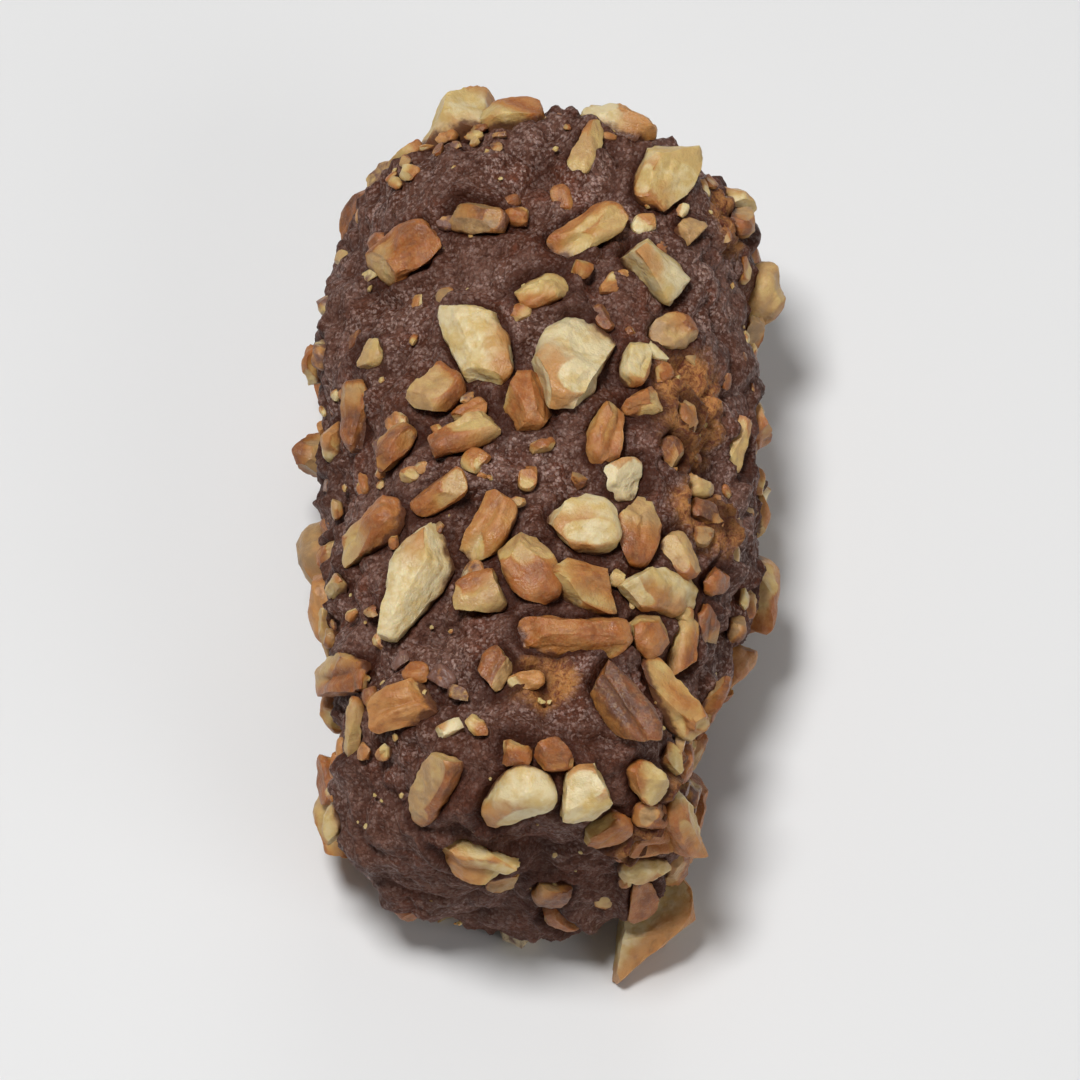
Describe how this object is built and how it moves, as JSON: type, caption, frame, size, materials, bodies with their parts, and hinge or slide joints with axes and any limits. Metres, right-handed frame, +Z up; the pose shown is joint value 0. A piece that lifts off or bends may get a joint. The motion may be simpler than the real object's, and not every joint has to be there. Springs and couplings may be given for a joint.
{
  "type": "date pecan roll",
  "caption": "Short blunt log of date paste rolled in chopped pecans, a sweet eaten by hand; it lies on its side on a small flat.",
  "frame": {"origin": "on the table under the middle of the roll's length, on the flat pressed into its underside", "axes": "+Y along the roll, away from its barer near end, +Z up, +X to the right when facing the near end"},
  "size_m": [0.0305, 0.0525, 0.0259],
  "materials": {
    "date_paste": "soft mauve-brown date paste, grainy and dull with a fine pale bloom",
    "chopped_pecan": "chopped pecan, cream where it is cut and orange-brown where the skin is left"
  },
  "bodies": {
    "root": {"date_roll": "date_paste"}
  },
  "joints": []
}
